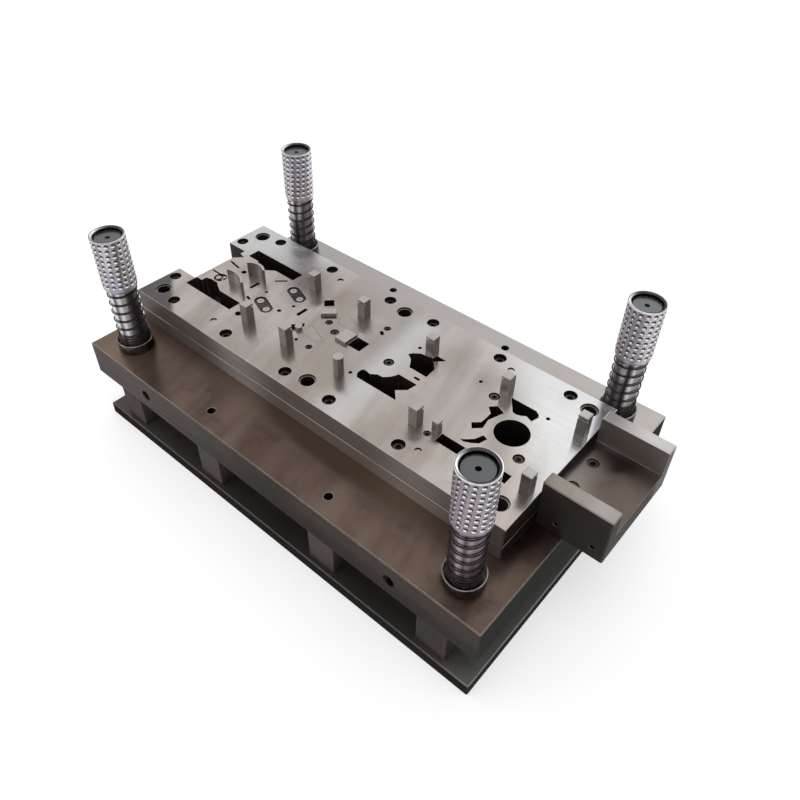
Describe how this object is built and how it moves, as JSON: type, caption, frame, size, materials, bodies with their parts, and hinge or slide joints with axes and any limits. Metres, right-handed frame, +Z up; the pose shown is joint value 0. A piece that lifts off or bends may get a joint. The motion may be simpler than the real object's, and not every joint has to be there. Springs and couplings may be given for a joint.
{
  "type": "press die set",
  "caption": "Lower half of a progressive press die: base plate on risers, die shoe, backing and die plates, ball-cage guide posts, sprung stock lifters and an exit channel.",
  "frame": {"origin": "centre of the base plate's bottom face, on the surface that the die set stands on", "axes": "+Z up; +X along the strip's travel, towards the exit channel block; -Y towards the operator's long side"},
  "size_m": [0.6425, 0.36, 0.2765],
  "materials": {
    "dark_steel": "dark milled",
    "shoe_steel": "ground, oiled",
    "backing_steel": "ground",
    "ground_steel": "fine ground",
    "hardened_steel": "polished",
    "dark_tool_steel": "wire cut",
    "black_oxide": "black oxide",
    "post_chrome": "hard chrome",
    "cage_metal": "satin",
    "spring_steel": "oiled wire"
  },
  "bodies": {
    "die_set": {"backing_plate": "backing_steel", "base_plate": "dark_steel", "cage_spring_back_left": "spring_steel", "cage_spring_back_right": "spring_steel", "cage_spring_front_left": "spring_steel", "cage_spring_front_right": "spring_steel", "die_plate": "ground_steel", "die_shoe": "shoe_steel", "exit_channel_block": "shoe_steel", "form_insert_back": "hardened_steel", "form_insert_front": "hardened_steel", "forming_blade_back": "hardened_steel", "forming_blade_front": "hardened_steel", "guide_post_back_left": "post_chrome", "guide_post_back_right": "post_chrome", "guide_post_front_left": "post_chrome", "guide_post_front_right": "post_chrome", "insert_screws": "black_oxide", "lifter_spring_back_1": "spring_steel", "lifter_spring_back_2": "spring_steel", "lifter_spring_back_3": "spring_steel", "lifter_spring_back_4": "spring_steel", "lifter_spring_back_5": "spring_steel", "lifter_spring_front_1": "spring_steel", "lifter_spring_front_2": "spring_steel", "lifter_spring_front_3": "spring_steel", "lifter_spring_front_4": "spring_steel", "lifter_spring_front_5": "spring_steel", "lifter_spring_front_6": "spring_steel", "locating_dowels": "ground_steel", "nose_former": "hardened_steel", "pierce_buttons": "hardened_steel", "pierce_insert_back": "dark_tool_steel", "pierce_insert_front": "dark_tool_steel", "plate_screws": "black_oxide", "post_flanges": "dark_tool_steel", "riser_bolts": "black_oxide", "riser_left_inner": "dark_steel", "riser_left_outer": "dark_steel", "riser_right_inner": "dark_steel", "riser_right_outer": "dark_steel", "stripper_guide_bushes": "hardened_steel", "v_former_back": "hardened_steel", "v_former_front": "hardened_steel", "window_block": "hardened_steel"},
    "cage_front_left": {"ball_cage_front_left": "cage_metal"},
    "cage_front_right": {"ball_cage_front_right": "cage_metal"},
    "cage_back_left": {"ball_cage_back_left": "cage_metal"},
    "cage_back_right": {"ball_cage_back_right": "cage_metal"},
    "lifter_body_back_1": {"lifter_back_1": "hardened_steel"},
    "lifter_body_back_2": {"lifter_back_2": "hardened_steel"},
    "lifter_body_back_3": {"lifter_back_3": "hardened_steel"},
    "lifter_body_back_4": {"lifter_back_4": "hardened_steel"},
    "lifter_body_back_5": {"lifter_back_5": "hardened_steel"},
    "lifter_body_front_1": {"lifter_front_1": "hardened_steel"},
    "lifter_body_front_2": {"lifter_front_2": "hardened_steel"},
    "lifter_body_front_3": {"lifter_front_3": "hardened_steel"},
    "lifter_body_front_4": {"lifter_front_4": "hardened_steel"},
    "lifter_body_front_5": {"lifter_front_5": "hardened_steel"},
    "lifter_body_front_6": {"lifter_front_6": "hardened_steel"}
  },
  "joints": [
    {"name": "cage_slide_front_left", "type": "slide", "parent": "die_set", "child": "cage_front_left", "axis": [0, 0, 1], "range_m": [-0.045, 0], "stiffness_N_per_m": 400, "springref_m": 0.012, "deforming": ["cage_spring_front_left"]},
    {"name": "cage_slide_front_right", "type": "slide", "parent": "die_set", "child": "cage_front_right", "axis": [0, 0, 1], "range_m": [-0.045, 0], "stiffness_N_per_m": 400, "springref_m": 0.012, "deforming": ["cage_spring_front_right"]},
    {"name": "cage_slide_back_left", "type": "slide", "parent": "die_set", "child": "cage_back_left", "axis": [0, 0, 1], "range_m": [-0.045, 0], "stiffness_N_per_m": 400, "springref_m": 0.012, "deforming": ["cage_spring_back_left"]},
    {"name": "cage_slide_back_right", "type": "slide", "parent": "die_set", "child": "cage_back_right", "axis": [0, 0, 1], "range_m": [-0.045, 0], "stiffness_N_per_m": 400, "springref_m": 0.012, "deforming": ["cage_spring_back_right"]},
    {"name": "lifter_slide_back_1", "type": "slide", "parent": "die_set", "child": "lifter_body_back_1", "axis": [0, 0, 1], "range_m": [-0.0245, 0], "stiffness_N_per_m": 1000, "springref_m": 0.008, "deforming": ["lifter_spring_back_1"]},
    {"name": "lifter_slide_back_2", "type": "slide", "parent": "die_set", "child": "lifter_body_back_2", "axis": [0, 0, 1], "range_m": [-0.0245, 0], "stiffness_N_per_m": 1000, "springref_m": 0.008, "deforming": ["lifter_spring_back_2"]},
    {"name": "lifter_slide_back_3", "type": "slide", "parent": "die_set", "child": "lifter_body_back_3", "axis": [0, 0, 1], "range_m": [-0.0245, 0], "stiffness_N_per_m": 1000, "springref_m": 0.008, "deforming": ["lifter_spring_back_3"]},
    {"name": "lifter_slide_back_4", "type": "slide", "parent": "die_set", "child": "lifter_body_back_4", "axis": [0, 0, 1], "range_m": [-0.0245, 0], "stiffness_N_per_m": 1000, "springref_m": 0.008, "deforming": ["lifter_spring_back_4"]},
    {"name": "lifter_slide_back_5", "type": "slide", "parent": "die_set", "child": "lifter_body_back_5", "axis": [0, 0, 1], "range_m": [-0.0255, 0], "stiffness_N_per_m": 1000, "springref_m": 0.008, "deforming": ["lifter_spring_back_5"]},
    {"name": "lifter_slide_front_1", "type": "slide", "parent": "die_set", "child": "lifter_body_front_1", "axis": [0, 0, 1], "range_m": [-0.025, 0], "stiffness_N_per_m": 1000, "springref_m": 0.008, "deforming": ["lifter_spring_front_1"]},
    {"name": "lifter_slide_front_2", "type": "slide", "parent": "die_set", "child": "lifter_body_front_2", "axis": [0, 0, 1], "range_m": [-0.025, 0], "stiffness_N_per_m": 1000, "springref_m": 0.008, "deforming": ["lifter_spring_front_2"]},
    {"name": "lifter_slide_front_3", "type": "slide", "parent": "die_set", "child": "lifter_body_front_3", "axis": [0, 0, 1], "range_m": [-0.025, 0], "stiffness_N_per_m": 1000, "springref_m": 0.008, "deforming": ["lifter_spring_front_3"]},
    {"name": "lifter_slide_front_4", "type": "slide", "parent": "die_set", "child": "lifter_body_front_4", "axis": [0, 0, 1], "range_m": [-0.025, 0], "stiffness_N_per_m": 1000, "springref_m": 0.008, "deforming": ["lifter_spring_front_4"]},
    {"name": "lifter_slide_front_5", "type": "slide", "parent": "die_set", "child": "lifter_body_front_5", "axis": [0, 0, 1], "range_m": [-0.016, 0], "stiffness_N_per_m": 1000, "springref_m": 0.008, "deforming": ["lifter_spring_front_5"]},
    {"name": "lifter_slide_front_6", "type": "slide", "parent": "die_set", "child": "lifter_body_front_6", "axis": [0, 0, 1], "range_m": [-0.0255, 0], "stiffness_N_per_m": 1000, "springref_m": 0.008, "deforming": ["lifter_spring_front_6"]}
  ]
}
